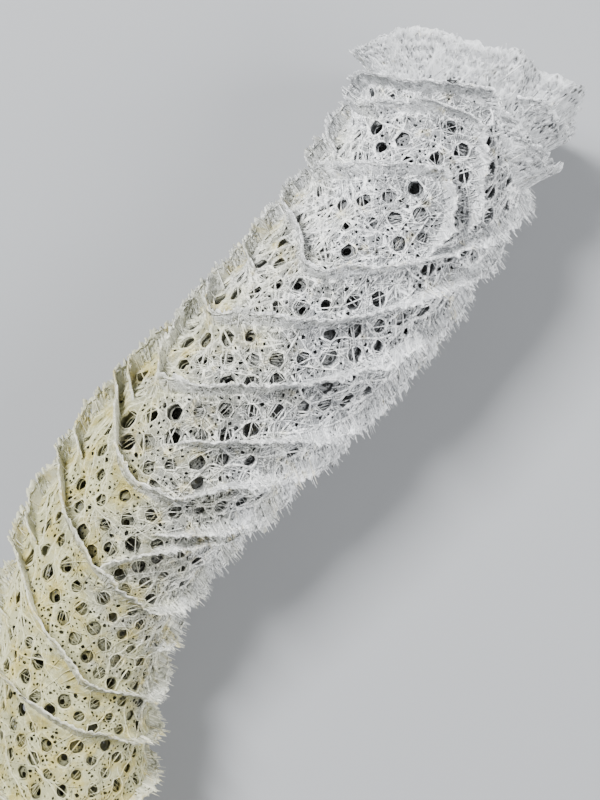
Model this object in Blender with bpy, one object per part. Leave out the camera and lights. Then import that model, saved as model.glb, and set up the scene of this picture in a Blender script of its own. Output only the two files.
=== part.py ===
"""Glass sponge skeleton, the kind called Venus' flower basket, lying on its side.

One fused lattice of glass fibres: a curved tube with rows of holes on the slant, ledges that
wander round it, a flaring cuff round a domed sieve at the top, and a root tuft at the foot.
"""

import math

import bmesh
import bpy
from mathutils import Vector

MM = 0.001

# Compass heading of the tube, counted from +X, against the length along it from the root end
HEADINGS = [(0, 101), (26, 101), (52, 98), (77, 91), (103, 79), (129, 57), (155, 43.5), (181, 46), (206, 53),
            (232, 60.5), (258, 80)]
# Outer radius of the wall, without its ledges, against the length along the tube
RADII = [(0, 7.5), (10, 8.6), (24, 10.6), (45, 13.4), (75, 15.6), (110, 16.8), (150, 18.6), (190, 19), (244, 19)]
# Height of the middle of the tube over the table, so that the underside lies along it
HEIGHTS = [(0, 10.5), (24, 12.8), (45, 15.6), (75, 18.4), (110, 19.9), (150, 22), (215, 22.3), (240, 23), (258, 24.2)]

COLUMNS = 20
WALL = 1.8
HOLE_SHARE = 0.41
LEDGE_HEIGHT = 4.8
LEDGE_RADIUS = 21.0
# Shares of the distance between crossings: full height up to the first, none from the second on
LEDGE_REACH = (0.5, 0.72)
LEDGE_PULL = 0.3

TUFT_ROWS = [(0, 2.0), (8, 4.0), (16, 6.5)]
TUFT_TOP = 24.0
STRAND = 1.1
FIRST_HOLES = 60.0
NECK = 240.0
CUFF_FOOT = (244.0, 20.4)
CUFF_RADIUS = 25.4
CUFF_LOW = 248.6
CUFF_HIGH = 250.4
CUFF_LEAN = (4.2, -0.3)
PLATE_EDGE = 16.2
PLATE_FOOT = 244.6
PLATE_RISE = 4.0
PLATE_ROWS = 4
PLATE_SHRINK = 0.72
PLATE_THICKNESS = 1.8

# Ledge crests: degrees round the tube from its upper side, clockwise seen from the root, and length along it
LEDGES = [
    [(-180, 243), (-100, 238), (-69, 241), (-35, 242), (3, 247), (20, 245), (40, 240), (90, 238), (180, 243)],
    [(-95, 231), (-56, 233), (-31, 237), (1, 242), (16, 239), (36, 227), (42, 220)],
    [(-200, 241), (-150, 232), (-90, 217), (-67, 214), (-28, 222), (6, 229), (13, 228), (25, 223), (29, 212)],
    [(-210, 235), (-150, 221), (-90, 203), (-51, 200), (-29, 195), (20, 209), (57, 223), (90, 231), (150, 240)],
    [(-150, 205), (-120, 195), (-90, 189), (-66, 187)],
    [(-210, 202), (-150, 190), (-90, 178), (-53, 174), (-29, 180), (3, 189), (47, 209), (90, 221), (150, 235)],
    [(-210, 187), (-150, 178), (-90, 166), (-59, 160), (-36, 157), (9, 173), (53, 194), (90, 209), (150, 221)],
    [(70, 193), (95, 202), (150, 214)],
    [(72, 184), (95, 193), (150, 208)],
    [(-6, 153), (9, 158), (38, 168), (65, 175), (90, 183), (150, 202)],
    [(-210, 172), (-150, 164), (-90, 153), (-48, 147), (-11, 141), (12, 143), (33, 153), (67, 164), (150, 187)],
    [(16, 135), (30, 138), (52, 144), (90, 156), (150, 172)],
    [(-150, 157), (-120, 149), (-90, 144), (-70, 142)],
    [(-210, 161), (-150, 150), (-90, 136), (-35, 128), (-1, 123), (20, 119), (44, 117), (74, 121), (150, 145)],
    [(-1, 123), (24, 132), (62, 143), (90, 152), (150, 161)],
    [(72, 132), (95, 138), (150, 153)],
    [(-150, 141), (-120, 132), (-90, 127), (-68, 125)],
    [(-210, 145), (-150, 133), (-90, 119), (-42, 113), (-14, 107), (13, 98), (49, 96), (74, 92), (150, 114)],
    [(-150, 120), (-120, 114), (-90, 110), (-68, 108)],
    [(68, 105), (95, 112), (150, 126)],
    [(-210, 114), (-150, 108), (-90, 102), (-47, 96), (-9, 89), (32, 87), (54, 84), (90, 83), (150, 97)],
    [(-150, 95), (-120, 92), (-90, 91), (-64, 88)],
    [(-210, 82), (-150, 82), (-90, 81), (-40, 74), (0, 69), (40, 69), (90, 74), (150, 82)],
    [(-210, 66), (-150, 66), (-90, 65), (-40, 57), (10, 54), (60, 56), (100, 63), (150, 66)],
    [(-210, 48), (-150, 50), (-90, 49), (-20, 42), (40, 40), (100, 45), (150, 48)],
]


def read_off(table, at):
    """The value of a table of pairs at a place between its entries."""
    for (x0, y0), (x1, y1) in zip(table, table[1:]):
        if at <= x1:
            return y0 + (y1 - y0) * max(at - x0, 0) / (x1 - x0)
    return table[-1][1]


def walk_the_spine():
    """Points a millimetre apart along the middle of the tube."""
    points = [Vector((0, 0, read_off(HEIGHTS, 0)))]
    for step in range(HEADINGS[-1][0]):
        heading = math.radians(read_off(HEADINGS, step + 0.5))
        points.append(points[-1] + Vector((math.cos(heading), math.sin(heading), 0)))
        points[-1].z = read_off(HEIGHTS, step + 1)
    return points


def place(spine, degrees, along, radius):
    """A point at an angle round the tube, a length along it and a distance from its middle."""
    below = min(max(int(along), 0), len(spine) - 2)
    ahead = spine[below + 1] - spine[below]
    middle = spine[below] + ahead * (along - below)
    right = ahead.cross(Vector((0, 0, 1))).normalized()
    up = right.cross(ahead).normalized()
    turn = math.radians(degrees)
    return middle + (right * math.sin(turn) + up * math.cos(turn)) * radius


def way_to_ledge(degrees, along):
    """The way over the wall from a point to the nearest ledge crest."""
    nearest = Vector((math.inf, 0))
    for route in LEDGES:
        for turn in (-360, 0, 360):
            here = Vector((math.radians(degrees + turn) * LEDGE_RADIUS, along))
            for start, end in zip(route, route[1:]):
                a = Vector((math.radians(start[0]) * LEDGE_RADIUS, start[1]))
                side = Vector((math.radians(end[0]) * LEDGE_RADIUS, end[1])) - a
                share = min(max((here - a).dot(side) / side.length_squared, 0), 1)
                way = a + side * share - here
                if way.length < nearest.length:
                    nearest = way
    return nearest


def on_the_wall(column, row, degrees, along):
    """A crossing of the lattice: near a ledge it is drawn to the crest and stands out with it."""
    radius = read_off(RADII, along)
    spacing = math.sqrt(2) * math.tau * radius / COLUMNS
    way = way_to_ledge(degrees, along)
    full, none = LEDGE_REACH
    share = min(max((none - way.length / spacing) / (none - full), 0), 1)
    if share == 0:
        return degrees, along, radius
    wave = 0.92 + 0.08 * math.sin(2.4 * column + 1.7 * row)
    height = LEDGE_HEIGHT * share * wave * radius / RADII[-1][1]
    way *= min(LEDGE_PULL * spacing / max(way.length, 0.001), 1)
    return degrees + math.degrees(way.x / LEDGE_RADIUS), along + way.y, radius + height


def rim_height(low, degrees):
    """The rim of the cuff leans: its height along the tube changes round it."""
    turn = math.radians(degrees)
    return low + CUFF_LEAN[0] * math.cos(turn) + CUFF_LEAN[1] * math.sin(turn)


def lattice_rows():
    """Each row of crossings from root to sieve: its name, and its length and radius outside and inside."""
    rows = []
    for along, inside in TUFT_ROWS:
        rows.append(("tuft", along, read_off(RADII, along), TUFT_TOP + 1, inside))
    along = TUFT_TOP
    while along < NECK:
        radius = read_off(RADII, along)
        rows.append(("foot" if along < FIRST_HOLES else "tube", along, radius, along, radius - WALL))
        along += math.tau * radius / COLUMNS
    rows.append(("cuff foot", *CUFF_FOOT, CUFF_FOOT[0] - 2, CUFF_FOOT[1] - 2.6))
    rows.append(("cuff", CUFF_LOW, CUFF_RADIUS, PLATE_FOOT - 1.6, PLATE_EDGE + 0.6))
    rows.append(("cuff", CUFF_HIGH, CUFF_RADIUS, PLATE_FOOT - 1.2, PLATE_EDGE - 0.9))
    rows.append(("seat", PLATE_FOOT, PLATE_EDGE, PLATE_FOOT - 1.0, PLATE_EDGE - 2.4))
    radius = PLATE_EDGE - 4.2
    for _ in range(PLATE_ROWS):
        height = PLATE_FOOT + PLATE_RISE * (1 - (radius / PLATE_EDGE) ** 2)
        rows.append(("plate", height, radius, height - PLATE_THICKNESS, radius * 0.94))
        radius *= PLATE_SHRINK
    return rows


def build_lattice():
    """The whole skin outside, with its holes, then thickened inwards to a closed body."""
    spine = walk_the_spine()
    rows = lattice_rows()
    step = 360 / COLUMNS
    mesh = bmesh.new()
    inside = mesh.verts.layers.float_vector.new("inside")

    def add(degrees, bend, outer, inner):
        corner = mesh.verts.new(place(spine, bend, *outer))
        corner[inside] = place(spine, degrees, *inner)
        return corner

    crossings = {}
    for row, (part, along, radius, inner_along, inner_radius) in enumerate(rows):
        for column in range(row % 2, COLUMNS, 2):
            degrees = column * step
            outer = (along, radius)
            bend = degrees
            if part == "tuft":
                outer = (along, radius + STRAND * math.cos(math.pi * (column + row) / 2))
            if part in ("foot", "tube"):
                bend, *outer = on_the_wall(column, row, degrees, along)
            if part == "cuff":
                outer = (rim_height(along, degrees), radius)
            crossings[column, row] = add(degrees, bend, outer, (inner_along, inner_radius))

    for row in range(1, len(rows) - 1):
        for column in range((row + 1) % 2, COLUMNS, 2):
            around = [(column, row - 1), (column + 1, row), (column, row + 1), (column - 1, row)]
            frame = [crossings[c % COLUMNS, r] for c, r in around]
            parts = {rows[r][0] for c, r in around}
            if parts not in ({"tube"}, {"plate"}, {"seat", "plate"}):
                mesh.faces.new((frame[0], frame[1], frame[2]))
                mesh.faces.new((frame[0], frame[2], frame[3]))
                continue
            hole = []
            for c, r in around:
                degrees = (column + (c - column) * HOLE_SHARE) * step
                outer = [rows[row][k] + (rows[r][k] - rows[row][k]) * HOLE_SHARE for k in (1, 2)]
                inner = [rows[row][k] + (rows[r][k] - rows[row][k]) * HOLE_SHARE for k in (3, 4)]
                hole.append(add(degrees, degrees, outer, inner))
            for k in range(4):
                mesh.faces.new((frame[k], frame[(k + 1) % 4], hole[(k + 1) % 4], hole[k]))

    close_end(mesh, crossings, rows, 0)
    close_end(mesh, crossings, rows, len(rows) - 1)
    skin = bmesh.ops.extrude_face_region(mesh, geom=mesh.faces[:])
    for piece in skin["geom"]:
        if isinstance(piece, bmesh.types.BMVert):
            piece.co = piece[inside]
    bmesh.ops.recalc_face_normals(mesh, faces=mesh.faces[:])
    return mesh


def close_end(mesh, crossings, rows, row):
    """The triangles that fill the zigzag of the last two rows, and a flat lid on the last row."""
    inner_row = 1 if row == 0 else row - 1
    ring = range(row % 2, COLUMNS, 2)
    for column in ring:
        ahead = crossings[(column + 2) % COLUMNS, row]
        mesh.faces.new((crossings[column, row], ahead, crossings[(column + 1) % COLUMNS, inner_row]))
    mesh.faces.new([crossings[column, row] for column in ring])


def clear_the_scene():
    for obj in list(bpy.data.objects):
        bpy.data.objects.remove(obj)


def collection_named(name):
    group = bpy.data.collections.new(name)
    bpy.context.scene.collection.children.link(group)
    return group


def glass_skeleton():
    finish = bpy.data.materials.new("fused silica lattice")
    finish.use_nodes = True
    shader = finish.node_tree.nodes["Principled BSDF"]
    shader.inputs["Base Color"].default_value = (0.78, 0.77, 0.72, 1)
    shader.inputs["Roughness"].default_value = 0.6
    return finish


def main():
    clear_the_scene()
    lattice = build_lattice()

    # Middle of the footprint over the origin
    corners = [v.co for v in lattice.verts]
    middle = [(min(c[k] for c in corners) + max(c[k] for c in corners)) / 2 for k in (0, 1)]
    bmesh.ops.translate(lattice, vec=(-middle[0], -middle[1], 0), verts=lattice.verts[:])
    bmesh.ops.scale(lattice, vec=(MM, MM, MM), verts=lattice.verts[:])
    print(f"middle of the footprint from the root end, mm: {middle[0]:.2f} {middle[1]:.2f}")

    data = bpy.data.meshes.new("sponge")
    lattice.to_mesh(data)
    lattice.free()
    sponge = bpy.data.objects.new("sponge", data)
    collection_named("sea sponge").objects.link(sponge)
    data.materials.append(glass_skeleton())

    # The table under it takes the tips of the lowest ledges off flat
    bpy.ops.mesh.primitive_cube_add(size=1, location=(0, 0, -0.01))
    table = bpy.context.object
    table.name = "table_cut"
    table.scale = (0.3, 0.4, 0.02)
    bpy.ops.object.transform_apply(location=False, rotation=False, scale=True)
    for group in list(table.users_collection):
        group.objects.unlink(table)
    collection_named("cutters").objects.link(table)
    table.hide_render = True
    table.display_type = "WIRE"
    flatten = sponge.modifiers.new("flatten the underside", "BOOLEAN")
    flatten.operation = "DIFFERENCE"
    flatten.solver = "EXACT"
    flatten.object = table

    for face in data.polygons:
        face.use_smooth = True
    data.set_sharp_from_angle(angle=math.radians(35))


main()
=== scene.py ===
# %% [markdown]
# # A glass sponge skeleton, lying on a table
# The real thing is a tube that a deep-sea sponge grew from needles of silica glass. The needles are
# fused to a lattice with round holes on the slant. Thin felted ledges wander round the tube, a frilly
# cuff rings its upper end, a sieve closes that end, and a tuft of loose fibres once held it in the mud.
# This lesson dresses the plain solid with that fibre work: felt, bundles, ledges, cuff, sieve and tuft.

import math

import bpy
import numpy as np
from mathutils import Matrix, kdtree
from mathutils.geometry import delaunay_2d_cdt


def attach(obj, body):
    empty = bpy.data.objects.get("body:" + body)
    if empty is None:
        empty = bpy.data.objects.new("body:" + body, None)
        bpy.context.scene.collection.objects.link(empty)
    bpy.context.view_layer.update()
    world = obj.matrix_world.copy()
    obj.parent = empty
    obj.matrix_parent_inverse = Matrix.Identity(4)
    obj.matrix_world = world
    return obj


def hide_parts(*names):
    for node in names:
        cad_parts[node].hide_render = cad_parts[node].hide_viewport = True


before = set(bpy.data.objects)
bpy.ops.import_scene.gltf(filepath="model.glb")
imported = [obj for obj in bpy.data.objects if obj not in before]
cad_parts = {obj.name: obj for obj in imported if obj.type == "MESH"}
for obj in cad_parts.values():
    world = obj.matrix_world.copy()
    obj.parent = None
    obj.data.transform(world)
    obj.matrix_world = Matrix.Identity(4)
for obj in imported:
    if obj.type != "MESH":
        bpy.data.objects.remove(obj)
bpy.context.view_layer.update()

# %% [markdown]
# ## Where things are on a bent tube
# Every fibre lies on or near the tube wall, so a point is easiest to give as a turn round the tube, a
# length along it and a height over the wall. Bending a flat pattern with modifiers would work too, but
# it hides where a point ends up. Here one function turns pattern places into places in space. The
# tables are the same as the solid's: heading, wall radius and height over the table against length.

# %% The bent tube
MM = 0.001
HEADINGS = [(0, 101), (26, 101), (52, 98), (77, 91), (103, 79), (129, 57), (155, 43.5), (181, 46), (206, 53),
            (232, 60.5), (258, 80)]
RADII = [(0, 7.5), (10, 8.6), (24, 10.6), (45, 13.4), (75, 15.6), (110, 16.8), (150, 18.6), (190, 19),
         (244, 19)]
HEIGHTS = [(0, 10.5), (24, 12.8), (45, 15.6), (75, 18.4), (110, 19.9), (150, 22), (215, 22.3), (240, 23),
           (258, 24.2)]
ROOT_END = (-33.31, -113.56)
GIRTH_RADIUS = 19.0
GIRTH = math.tau * GIRTH_RADIUS


def read_off(table, at):
    """The value of a table of pairs at any place, straight between its entries."""
    places, values = zip(*table)
    return np.interp(at, places, values)


station = np.arange(0.0, 259.0)
heading = np.radians(read_off(HEADINGS, station[:-1] + 0.5))
spine = np.zeros((len(station), 3))
spine[1:, 0] = np.cumsum(np.cos(heading))
spine[1:, 1] = np.cumsum(np.sin(heading))
spine[:, :2] += ROOT_END
spine[:, 2] = read_off(HEIGHTS, station)
ahead = np.gradient(spine, axis=0)
ahead /= np.linalg.norm(ahead, axis=1, keepdims=True)
to_right = np.cross(ahead, (0, 0, 1))
to_right /= np.linalg.norm(to_right, axis=1, keepdims=True)
to_top = np.cross(to_right, ahead)


def along_spine(values, along):
    """A vector that is known at each station, read off between stations."""
    return np.stack([np.interp(along, station, values[:, k]) for k in range(3)], axis=-1)


def place(turn, along, radius):
    """Points in space, in mm, from the turn in radians, the length along the tube and the radius."""
    turn, along, radius = np.broadcast_arrays(turn, along, radius)
    sideways = along_spine(to_right, along) * np.sin(turn)[..., None]
    upwards = along_spine(to_top, along) * np.cos(turn)[..., None]
    return along_spine(spine, along) + (sideways + upwards) * radius[..., None]


print("spine, mm:", len(station) - 1, "long, ends at", spine[-1].round(1))

# %% [markdown]
# ## A flat pattern that keeps its proportions
# The tube narrows towards the root, and its holes shrink with it. So the pattern is drawn on a strip
# as wide as the tube's largest girth, and its length is stretched where the tube is narrow. A round
# hole on the strip is then a round hole on the tube. `x` is the way round, with 0 on the upper side,
# and `t` the way along it.

# %% The flat pattern
FINE_STEP = 0.25
fine = np.arange(0.0, 258.1, FINE_STEP)
stretches = FINE_STEP * GIRTH_RADIUS / read_off(RADII, fine[:-1] + FINE_STEP / 2)
stretched = np.r_[0, np.cumsum(stretches)]


def t_at(along):
    return np.interp(along, fine, stretched)


def along_at(t):
    return np.interp(t, stretched, fine)


def shrink_at(t):
    """How much smaller things are on the tube than on the pattern."""
    return read_off(RADII, along_at(t)) / GIRTH_RADIUS


def rightness(x):
    """1 on the right of the tube, -1 on the left, 0 on its upper and lower side."""
    return np.sin(x / GIRTH_RADIUS)


def on_wall(x, t, height):
    """Points in space from pattern places and a height over the wall, in mm."""
    along = along_at(t)
    return place(np.asarray(x) / GIRTH_RADIUS, along, read_off(RADII, along) + height * shrink_at(t))


def ripple(a, b, length, seed, count=7):
    """A smooth wandering value between about -1 and 1, with waves near the length given."""
    dice = np.random.default_rng(seed)
    total = np.zeros(np.broadcast(a, b).shape)
    for _ in range(count):
        way, phase = dice.uniform(0, math.tau, 2)
        wave = math.tau / (length * dice.uniform(0.7, 1.5))
        total += np.sin(wave * (math.cos(way) * a + math.sin(way) * b) + phase)
    return total / math.sqrt(2.2 * count)


print("pattern, mm:", round(GIRTH, 1), "round,", round(float(t_at(244)), 1), "along")

# %% [markdown]
# ## From numbers to meshes
# The fibre work is about 770,000 triangles, too many to make one by one. Arrays of corners and faces
# go into a mesh in one step each, and the pattern place of each corner is kept as its UV map, which the
# finishes read later. A fibre is a thin three-sided rod along a row of points, closed at both ends.

# %% Mesh helper
pieces = {}
# What it rests on is flattened, this little over the table, in mm
ABOVE_TABLE = 0.03


def make_piece(name, corners, faces, chart):
    """A piece from corners in mm, arrays of faces with three or four corners, and a chart place per corner.

    A chart that has a place for each corner of each face is taken as it is.
    """
    corners = np.array(corners)
    corners[:, 2] = np.maximum(corners[:, 2], ABOVE_TABLE)
    mesh = bpy.data.meshes.new(name)
    mesh.vertices.add(len(corners))
    mesh.vertices.foreach_set("co", (corners * MM).ravel())
    loops = np.concatenate([f.ravel() for f in faces])
    sizes = np.concatenate([np.full(len(f), f.shape[1]) for f in faces])
    starts = np.r_[0, np.cumsum(sizes)[:-1]]
    mesh.loops.add(len(loops))
    mesh.loops.foreach_set("vertex_index", loops)
    mesh.polygons.add(len(sizes))
    mesh.polygons.foreach_set("loop_start", starts)
    mesh.update(calc_edges=True)
    # The seam of the chart goes to the back: each face is charted within half a girth of the top line
    chart = np.array(chart if len(chart) == len(loops) else chart[loops], float)
    chart[:, 0] -= GIRTH * np.round(np.repeat(chart[starts, 0], sizes) / GIRTH)
    mesh.uv_layers.new(name="chart").data.foreach_set("uv", chart.ravel())
    mesh.validate()
    mesh.polygons.foreach_set("use_smooth", np.ones(len(mesh.polygons), bool))
    piece = bpy.data.objects.new(name, mesh)
    bpy.context.scene.collection.objects.link(piece)
    pieces[name] = piece
    print(f"{name}: {sum(s - 2 for s in sizes.tolist())} triangles")


# %% Fibre helpers
def ends_of(line):
    """Which places begin and end their line, and the numbers of the places before and after each."""
    first = np.r_[True, line[1:] != line[:-1]]
    last = np.r_[first[1:], True]
    spot = np.arange(len(line))
    return first, last, np.where(first, spot, spot - 1), np.where(last, spot, spot + 1)


def rods(name, points, fibre, thickness, chart):
    """Fibres as three-sided rods. Points that follow each other and share a fibre number are one fibre."""
    first, last, before, after = ends_of(fibre)
    run = points[after] - points[before]
    run /= np.maximum(np.linalg.norm(run, axis=1, keepdims=True), 1e-9)
    upright = np.where(np.abs(run[:, 2:]) < 0.9, (0.0, 0.0, 1.0), (1.0, 0.0, 0.0))
    side = np.cross(run, upright)
    side /= np.linalg.norm(side, axis=1, keepdims=True)
    lift = np.cross(side, run)
    slim = np.where(first | last, 0.45, 1.0) * thickness
    start = 3 * np.flatnonzero(~last)
    ring, walls = [], []
    for corner in range(3):
        spin = math.tau * corner / 3 + 0.5
        ring.append(points + (side * math.cos(spin) + lift * math.sin(spin)) * slim[:, None])
        following = (corner + 1) % 3
        walls.append(start[:, None] + np.array([corner, following, 3 + following, 3 + corner]))
    heads = 3 * np.flatnonzero(first)[:, None] + np.array([[2, 1, 0]])
    tails = 3 * np.flatnonzero(last)[:, None] + np.array([[0, 1, 2]])
    corners = np.stack(ring, axis=1).reshape(-1, 3)
    make_piece(name, corners, [np.concatenate(walls), heads, tails], np.repeat(chart, 3, axis=0))


def fibres(name, points, thickness, x, t):
    """Rods with the same number of points each: a row of points, and one thickness, for each rod."""
    count, steps = points.shape[:2]
    chart = np.stack([np.broadcast_to(part, (count, steps)).ravel() for part in (x, t)], axis=1)
    rods(name, points.reshape(-1, 3), np.repeat(np.arange(count), steps), np.repeat(thickness, steps), chart)


# %% [markdown]
# ## The routes of the ledges
# A ledge runs aslant round the tube, turns in a rounded corner and climbs back the other way. The
# routes below are the solid's, with a few short ones more: degrees round the tube from the upper side,
# and length along it. They are rounded off and cut to short steps. A search tree then tells how far any
# place is from the nearest ledge, which keeps holes off it and lets the felt rise a little towards it.

# %% Ledge routes
LEDGES = [
    [(-150, 243), (-100, 238), (-80, 233), (-56, 232), (-31, 237), (1, 242), (16, 239), (36, 227), (42, 220)],
    [(-150, 240), (-100, 231), (-84, 227), (-72, 223), (-58, 222)],
    [(-200, 242), (-150, 234), (-98, 222), (-84, 218), (-70, 214), (-57, 215), (-40, 219), (-28, 222),
     (6, 229), (13, 228), (25, 223), (29, 212)],
    [(-210, 237), (-150, 224), (-98, 211), (-84, 207), (-61, 203), (-45, 203), (-33, 200), (-25, 196),
     (-14, 197), (-7, 200), (20, 209), (57, 223), (90, 231), (150, 240)],
    [(-150, 214), (-100, 204), (-87, 199), (-78, 194), (-66, 190), (-52, 190)],
    [(-210, 208), (-150, 200), (-100, 191), (-87, 186), (-77, 181), (-69, 178), (-57, 175), (-46, 175),
     (-27, 181), (3, 189), (47, 209), (90, 221), (150, 235)],
    [(-210, 194), (-150, 188), (-100, 180), (-86, 175), (-66, 168), (-56, 162), (-46, 159), (-34, 158),
     (9, 173), (53, 194), (90, 209), (150, 221)],
    [(-150, 176), (-100, 166), (-88, 162), (-80, 158), (-66, 154), (-50, 153)],
    [(70, 193), (95, 202), (150, 214)],
    [(72, 184), (95, 193), (150, 208)],
    [(-6, 153), (9, 158), (38, 168), (65, 175), (90, 183), (150, 202)],
    [(-210, 170), (-150, 163), (-100, 154), (-84, 152), (-61, 151), (-47, 149), (-33, 145), (-18, 142),
     (-2, 142), (12, 143), (33, 153), (67, 164), (90, 172), (150, 187)],
    [(16, 135), (30, 138), (52, 144), (90, 156), (150, 172)],
    [(-150, 157), (-100, 149), (-82, 144), (-66, 140), (-52, 139)],
    [(-210, 158), (-150, 147), (-100, 139), (-83, 136), (-57, 134), (-37, 129), (-18, 126), (-1, 123),
     (10, 122), (21, 120), (44, 117), (74, 121), (150, 145)],
    [(-1, 123), (24, 132), (62, 143), (90, 152), (150, 161)],
    [(72, 132), (95, 138), (150, 153)],
    [(-150, 141), (-100, 131), (-80, 127), (-62, 123), (-48, 122)],
    [(-210, 145), (-150, 133), (-90, 121), (-60, 118), (-46, 116), (-30, 111), (-17, 107), (-7, 105),
     (3, 102), (13, 98), (49, 96), (74, 92), (150, 114)],
    [(-150, 120), (-100, 112), (-72, 108), (-56, 108)],
    [(68, 105), (95, 112), (150, 126)],
    [(-210, 114), (-150, 108), (-90, 101), (-50, 98), (-26, 94), (-7, 91), (14, 88), (32, 87), (54, 84),
     (90, 83), (150, 97)],
    [(-150, 95), (-120, 92), (-90, 91), (-64, 88)],
    [(-210, 82), (-150, 82), (-90, 81), (-40, 74), (0, 69), (40, 69), (90, 74), (150, 82)],
    [(-210, 66), (-150, 66), (-90, 65), (-40, 57), (10, 54), (60, 56), (100, 63), (150, 66)],
    [(-210, 48), (-150, 50), (-90, 49), (-20, 42), (40, 40), (100, 45), (150, 48)],
]
# Two ledges at the neck, the second one only on the right
NECK_LEDGES = [
    [(-180, 243), (-100, 238), (-69, 241), (-35, 242), (3, 247), (20, 245), (40, 240), (90, 238), (180, 243)],
    [(26, 249), (50, 246), (90, 244), (140, 246)],
]
LEDGE_HEIGHT = 4.8
# Degrees round the tube, and how far a ledge leans towards the cuff there for each millimetre of its
# height. On the right the ledges hang over towards the root instead, but not at the neck.
LEAN = [(-180, 0.2), (-90, 0.45), (-45, 0.62), (10, 0.6), (40, 0.1), (65, -0.35), (110, -0.3), (180, 0.2)]
NECK_LEAN = [(-180, 0.4), (20, 0.4), (60, 1.0), (120, 1.0), (180, 0.4)]
ROUTE_STEP = 0.6


def rounded_route(route):
    """A route on the pattern, with its corners cut three times and then divided into equal steps."""
    line = np.array([(math.radians(turn) * GIRTH_RADIUS, t_at(along)) for turn, along in route])
    for _ in range(3):
        near, far = line[:-1] * 0.75 + line[1:] * 0.25, line[:-1] * 0.25 + line[1:] * 0.75
        line = np.concatenate([line[:1], np.stack([near, far], axis=1).reshape(-1, 2), line[-1:]])
    length = np.r_[0, np.cumsum(np.hypot(*np.diff(line, axis=0).T))]
    even = np.linspace(0, length[-1], int(length[-1] / ROUTE_STEP) + 1)
    return np.stack([np.interp(even, length, line[:, k]) for k in (0, 1)], axis=1)


def lean_at(x, table=LEAN):
    """How far a ledge leans towards the cuff at a place round the tube."""
    return read_off(table, (np.degrees(x / GIRTH_RADIUS) + 180) % 360 - 180)


routes = [rounded_route(route) for route in LEDGES + NECK_LEDGES]
print("ledges:", len(routes), "with", round(sum(len(r) for r in routes) * ROUTE_STEP), "mm of crest")

# %% Distance to the ledges
foot_points = np.concatenate(routes)
foot_points[:, 1] -= lean_at(foot_points[:, 0]) * LEDGE_HEIGHT
foot_points = np.concatenate([foot_points + (k * GIRTH, 0) for k in (-1, 0, 1)])
foot_tree = kdtree.KDTree(len(foot_points))
for number, (x, t) in enumerate(foot_points):
    foot_tree.insert((x, t, 0), number)
foot_tree.balance()


def from_foot(x, t):
    """For each pattern place, the distance to the nearest ledge's foot and the way there."""
    nearest = np.array([foot_tree.find((a, b, 0))[1] for a, b in zip(x, t)])
    way = foot_points[nearest] - np.stack([x, t], axis=1)
    return np.hypot(*way.T), way


# %% [markdown]
# ## The lattice of holes
# The holes of the real tube stand on a slanting lattice, like the black squares of a chessboard, about
# 5 mm apart. In the felt they are 3 to 4 mm wide, and the fibres wound round them leave 2 to 3 mm open.
# They never lie under a ledge: there the lattice gives way. Holes are placed row by row, nudged a little
# at random, and pushed off the ledges. Low down, where the skeleton grows dense, many of them close.

# %% Hole places
COLUMNS = 32
CELL = GIRTH / COLUMNS
FIRST_HOLES = 60.0
LAST_HOLES = 239.5
HOLE_RADIUS = 1.68
HOLE_JITTER = 0.18

dice = np.random.default_rng(11)
first_row = t_at(FIRST_HOLES)
row_count = int((t_at(LAST_HOLES) - first_row) / CELL) + 1
grid_row, grid_column = np.divmod(np.arange(row_count * COLUMNS), COLUMNS)
taken = (grid_row + grid_column) % 2 == 1
hole_x = grid_column[taken] * CELL + dice.normal(0, HOLE_JITTER, taken.sum())
hole_t = first_row + grid_row[taken] * CELL + dice.normal(0, HOLE_JITTER, taken.sum())
hole_size = HOLE_RADIUS * dice.uniform(0.76, 1.12, taken.sum())
foot_gap, foot_way = from_foot(hole_x, hole_t)
room = hole_size + 0.55
push = np.clip(room - foot_gap, 0, 1.5) / np.maximum(foot_gap, 0.05)
hole_x -= foot_way[:, 0] * push
hole_t -= foot_way[:, 1] * push
fading = np.clip((along_at(hole_t) - FIRST_HOLES) / 22, 0, 1)
open_hole = (foot_gap > 0.7) & (dice.random(len(hole_x)) < 0.3 + 0.66 * fading)
hole_x, hole_t = hole_x[open_hole] % GIRTH, hole_t[open_hole]
hole_size = (hole_size * (0.72 + 0.28 * fading))[open_hole]
hole_count = len(hole_x)
print(f"holes: {hole_count}, about {2 * HOLE_RADIUS:.1f} mm wide and {CELL * 2 ** 0.5:.1f} mm apart")


# %% Search trees
def round_tree(x, t):
    """A search tree of pattern places that also finds them across the seam of the pattern."""
    tree = kdtree.KDTree(3 * len(x))
    for number in range(len(x)):
        for k in (-1, 0, 1):
            tree.insert((x[number] + k * GIRTH, t[number], 0), number)
    tree.balance()
    return tree


def nearest_gap(x, t, to_x, to_t, to_size):
    """The gap from each place to the edge of the nearest round thing."""
    tree = round_tree(to_x, to_t)
    found = [tree.find((a, b, 0)) for a, b in zip(x, t)]
    return np.array([gap - to_size[number] for _, number, gap in found])


holes = (hole_x, hole_t, hole_size)
hole_tree = round_tree(hole_x, hole_t)

# %% [markdown]
# ## Felt from strewn points
# Between the holes the needles are matted to a thin felt, with pores of up to a millimetre in it. A
# sheet with many small holes could be cut with Booleans, but thousands of them would take hours. It is
# quicker to strew points over the pattern, with a ring of points round each hole and each pore, join
# all neighbours to triangles in one step, and leave out the triangles inside the rings.

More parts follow.
